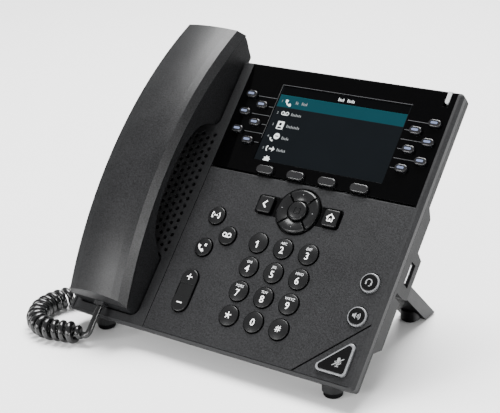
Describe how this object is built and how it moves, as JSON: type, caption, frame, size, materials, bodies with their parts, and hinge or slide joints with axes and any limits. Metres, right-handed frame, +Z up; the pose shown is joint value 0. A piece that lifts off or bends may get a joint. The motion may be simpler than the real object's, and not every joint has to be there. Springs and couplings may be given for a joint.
{
  "type": "desk ip phone",
  "caption": "Desk telephone with a tilted colour display, keypad, function keys and a corded handset in a side cradle, on a clip-on stand.",
  "frame": {"origin": "centre of the phone's box, without the free cord, on the desk surface", "axes": "+X to the user's right across the face, +Y away from the user, +Z up"},
  "size_m": [0.253, 0.1763, 0.1775],
  "materials": {
    "housing": "fine spark texture, satin charcoal",
    "fascia": "fine spark texture, satin charcoal",
    "handset": "fine texture, satin charcoal",
    "gloss_panel": "polished black",
    "screen": "glossy colour display, lit",
    "light_guide": "translucent white",
    "keycap": "smooth satin black with white legends",
    "lit_key": "clear rim round a black top",
    "line_key": "satin black with a light bar",
    "soft_key": "satin grey",
    "nav_gloss": "semi-gloss black",
    "rubber": "matt",
    "silicone": "matt",
    "circuit_board": "solder mask",
    "speaker_metal": "stamped steel and paper cone",
    "screw_steel": "blackened steel",
    "cord_jacket": "semi-gloss jacket",
    "plug_clear": "clear moulded plug"
  },
  "bodies": {
    "root": {"front_housing": "housing", "keypad_fascia": "fascia", "rear_housing": "housing", "display_panel": "gloss_panel", "lcd_screen": "screen", "light_bar": "light_guide", "loudspeaker": "speaker_metal", "main_board": "circuit_board", "key_mat": "silicone", "desk_stand": "housing", "rubber_feet": "rubber", "housing_screws": "screw_steel", "cord_coil": "cord_jacket", "cord_base_tail": "cord_jacket", "cord_handset_tail": "cord_jacket"},
    "handset": {"handset_outer_shell": "handset", "handset_inner_shell": "handset", "handset_capsules": "speaker_metal", "handset_plug": "plug_clear"},
    "key_0": {"key_0": "keycap"},
    "key_1": {"key_1": "keycap"},
    "key_2": {"key_2": "keycap"},
    "key_3": {"key_3": "keycap"},
    "key_4": {"key_4": "keycap"},
    "key_5": {"key_5": "keycap"},
    "key_6": {"key_6": "keycap"},
    "key_7": {"key_7": "keycap"},
    "key_8": {"key_8": "keycap"},
    "key_9": {"key_9": "keycap"},
    "key_star": {"key_star": "keycap"},
    "key_hash": {"key_hash": "keycap"},
    "transfer_key": {"transfer_key": "keycap"},
    "messages_key": {"messages_key": "keycap"},
    "hold_key": {"hold_key": "keycap"},
    "headset_key": {"headset_key": "lit_key"},
    "speaker_key": {"speaker_key": "lit_key"},
    "back_key": {"back_key": "keycap"},
    "home_key": {"home_key": "keycap"},
    "mute_key": {"mute_key": "lit_key"},
    "line_key_left_1": {"line_key_left_1": "line_key"},
    "line_key_left_2": {"line_key_left_2": "line_key"},
    "line_key_left_3": {"line_key_left_3": "line_key"},
    "line_key_left_4": {"line_key_left_4": "line_key"},
    "line_key_left_5": {"line_key_left_5": "line_key"},
    "line_key_left_6": {"line_key_left_6": "line_key"},
    "line_key_right_1": {"line_key_right_1": "line_key"},
    "line_key_right_2": {"line_key_right_2": "line_key"},
    "line_key_right_3": {"line_key_right_3": "line_key"},
    "line_key_right_4": {"line_key_right_4": "line_key"},
    "line_key_right_5": {"line_key_right_5": "line_key"},
    "line_key_right_6": {"line_key_right_6": "line_key"},
    "soft_key_1": {"soft_key_1": "soft_key"},
    "soft_key_2": {"soft_key_2": "soft_key"},
    "soft_key_3": {"soft_key_3": "soft_key"},
    "soft_key_4": {"soft_key_4": "soft_key"},
    "select_key": {"select_key": "nav_gloss"},
    "nav_pivot": {"nav_pivot": "keycap"},
    "nav_ring": {"nav_ring": "nav_gloss"},
    "volume_rocker": {"volume_rocker": "keycap"},
    "hook_plunger": {"hook_plunger": "keycap"}
  },
  "joints": [
    {"name": "key_0_press", "type": "slide", "parent": "root", "child": "key_0", "axis": [0, 0.7071, -0.7071], "range_m": [0, 0.0011], "stiffness_N_per_m": 500},
    {"name": "key_1_press", "type": "slide", "parent": "root", "child": "key_1", "axis": [0, 0.7071, -0.7071], "range_m": [0, 0.0011], "stiffness_N_per_m": 500},
    {"name": "key_2_press", "type": "slide", "parent": "root", "child": "key_2", "axis": [0, 0.7071, -0.7071], "range_m": [0, 0.0011], "stiffness_N_per_m": 500},
    {"name": "key_3_press", "type": "slide", "parent": "root", "child": "key_3", "axis": [0, 0.7071, -0.7071], "range_m": [0, 0.0011], "stiffness_N_per_m": 500},
    {"name": "key_4_press", "type": "slide", "parent": "root", "child": "key_4", "axis": [0, 0.7071, -0.7071], "range_m": [0, 0.0011], "stiffness_N_per_m": 500},
    {"name": "key_5_press", "type": "slide", "parent": "root", "child": "key_5", "axis": [0, 0.7071, -0.7071], "range_m": [0, 0.0011], "stiffness_N_per_m": 500},
    {"name": "key_6_press", "type": "slide", "parent": "root", "child": "key_6", "axis": [0, 0.7071, -0.7071], "range_m": [0, 0.0011], "stiffness_N_per_m": 500},
    {"name": "key_7_press", "type": "slide", "parent": "root", "child": "key_7", "axis": [0, 0.7071, -0.7071], "range_m": [0, 0.0011], "stiffness_N_per_m": 500},
    {"name": "key_8_press", "type": "slide", "parent": "root", "child": "key_8", "axis": [0, 0.7071, -0.7071], "range_m": [0, 0.0011], "stiffness_N_per_m": 500},
    {"name": "key_9_press", "type": "slide", "parent": "root", "child": "key_9", "axis": [0, 0.7071, -0.7071], "range_m": [0, 0.0011], "stiffness_N_per_m": 500},
    {"name": "key_star_press", "type": "slide", "parent": "root", "child": "key_star", "axis": [0, 0.7071, -0.7071], "range_m": [0, 0.0011], "stiffness_N_per_m": 500},
    {"name": "key_hash_press", "type": "slide", "parent": "root", "child": "key_hash", "axis": [0, 0.7071, -0.7071], "range_m": [0, 0.0011], "stiffness_N_per_m": 500},
    {"name": "transfer_key_press", "type": "slide", "parent": "root", "child": "transfer_key", "axis": [0, 0.7071, -0.7071], "range_m": [0, 0.0011], "stiffness_N_per_m": 500},
    {"name": "messages_key_press", "type": "slide", "parent": "root", "child": "messages_key", "axis": [0, 0.7071, -0.7071], "range_m": [0, 0.0011], "stiffness_N_per_m": 500},
    {"name": "hold_key_press", "type": "slide", "parent": "root", "child": "hold_key", "axis": [0, 0.7071, -0.7071], "range_m": [0, 0.0011], "stiffness_N_per_m": 500},
    {"name": "headset_key_press", "type": "slide", "parent": "root", "child": "headset_key", "axis": [0, 0.7071, -0.7071], "range_m": [0, 0.0011], "stiffness_N_per_m": 500},
    {"name": "speaker_key_press", "type": "slide", "parent": "root", "child": "speaker_key", "axis": [0, 0.7071, -0.7071], "range_m": [0, 0.0011], "stiffness_N_per_m": 500},
    {"name": "back_key_press", "type": "slide", "parent": "root", "child": "back_key", "axis": [0, 0.7071, -0.7071], "range_m": [0, 0.0011], "stiffness_N_per_m": 500},
    {"name": "home_key_press", "type": "slide", "parent": "root", "child": "home_key", "axis": [0, 0.7071, -0.7071], "range_m": [0, 0.0011], "stiffness_N_per_m": 500},
    {"name": "mute_key_press", "type": "slide", "parent": "root", "child": "mute_key", "axis": [0, 0.7071, -0.7071], "range_m": [0, 0.0011], "stiffness_N_per_m": 500},
    {"name": "line_key_left_1_press", "type": "slide", "parent": "root", "child": "line_key_left_1", "axis": [0, 0.7071, -0.7071], "range_m": [0, 0.0011], "stiffness_N_per_m": 500},
    {"name": "line_key_left_2_press", "type": "slide", "parent": "root", "child": "line_key_left_2", "axis": [0, 0.7071, -0.7071], "range_m": [0, 0.0011], "stiffness_N_per_m": 500},
    {"name": "line_key_left_3_press", "type": "slide", "parent": "root", "child": "line_key_left_3", "axis": [0, 0.7071, -0.7071], "range_m": [0, 0.0011], "stiffness_N_per_m": 500},
    {"name": "line_key_left_4_press", "type": "slide", "parent": "root", "child": "line_key_left_4", "axis": [0, 0.7071, -0.7071], "range_m": [0, 0.0011], "stiffness_N_per_m": 500},
    {"name": "line_key_left_5_press", "type": "slide", "parent": "root", "child": "line_key_left_5", "axis": [0, 0.7071, -0.7071], "range_m": [0, 0.0011], "stiffness_N_per_m": 500},
    {"name": "line_key_left_6_press", "type": "slide", "parent": "root", "child": "line_key_left_6", "axis": [0, 0.7071, -0.7071], "range_m": [0, 0.0011], "stiffness_N_per_m": 500},
    {"name": "line_key_right_1_press", "type": "slide", "parent": "root", "child": "line_key_right_1", "axis": [0, 0.7071, -0.7071], "range_m": [0, 0.0011], "stiffness_N_per_m": 500},
    {"name": "line_key_right_2_press", "type": "slide", "parent": "root", "child": "line_key_right_2", "axis": [0, 0.7071, -0.7071], "range_m": [0, 0.0011], "stiffness_N_per_m": 500},
    {"name": "line_key_right_3_press", "type": "slide", "parent": "root", "child": "line_key_right_3", "axis": [0, 0.7071, -0.7071], "range_m": [0, 0.0011], "stiffness_N_per_m": 500},
    {"name": "line_key_right_4_press", "type": "slide", "parent": "root", "child": "line_key_right_4", "axis": [0, 0.7071, -0.7071], "range_m": [0, 0.0011], "stiffness_N_per_m": 500},
    {"name": "line_key_right_5_press", "type": "slide", "parent": "root", "child": "line_key_right_5", "axis": [0, 0.7071, -0.7071], "range_m": [0, 0.0011], "stiffness_N_per_m": 500},
    {"name": "line_key_right_6_press", "type": "slide", "parent": "root", "child": "line_key_right_6", "axis": [0, 0.7071, -0.7071], "range_m": [0, 0.0011], "stiffness_N_per_m": 500},
    {"name": "soft_key_1_press", "type": "slide", "parent": "root", "child": "soft_key_1", "axis": [0, 0.7071, -0.7071], "range_m": [0, 0.0011], "stiffness_N_per_m": 500},
    {"name": "soft_key_2_press", "type": "slide", "parent": "root", "child": "soft_key_2", "axis": [0, 0.7071, -0.7071], "range_m": [0, 0.0011], "stiffness_N_per_m": 500},
    {"name": "soft_key_3_press", "type": "slide", "parent": "root", "child": "soft_key_3", "axis": [0, 0.7071, -0.7071], "range_m": [0, 0.0011], "stiffness_N_per_m": 500},
    {"name": "soft_key_4_press", "type": "slide", "parent": "root", "child": "soft_key_4", "axis": [0, 0.7071, -0.7071], "range_m": [0, 0.0011], "stiffness_N_per_m": 500},
    {"name": "select_key_press", "type": "slide", "parent": "root", "child": "select_key", "axis": [0, 0.7071, -0.7071], "range_m": [0, 0.001], "stiffness_N_per_m": 500},
    {"name": "nav_tilt_up_down", "type": "hinge", "parent": "root", "child": "nav_pivot", "pos_m": [0.0297, 0.00376, 0.08124], "axis": [1, 0, 0], "range_deg": [-3, 3], "stiffness_Nm_per_rad": 0.12},
    {"name": "nav_tilt_left_right", "type": "hinge", "parent": "nav_pivot", "child": "nav_ring", "pos_m": [0.0297, 0.00376, 0.08124], "axis": [0, 0.7071, 0.7071], "range_deg": [-3, 3], "stiffness_Nm_per_rad": 0.12},
    {"name": "volume_rock", "type": "hinge", "parent": "root", "child": "volume_rocker", "pos_m": [-0.027, -0.04573, 0.03442], "axis": [1, 0, 0], "range_deg": [-3, 3], "stiffness_Nm_per_rad": 0.14},
    {"name": "handset_lift", "type": "slide", "parent": "root", "child": "handset", "axis": [0, -0.7071, 0.7071], "range_m": [0, 0.06]},
    {"name": "hook_rise", "type": "slide", "parent": "root", "child": "hook_plunger", "axis": [0, -0.7071, 0.7071], "range_m": [0, 0.0025]}
  ],
  "couplings": [
    {"joint": "hook_rise", "follows": "handset_lift", "ratio": 0.041667}
  ]
}
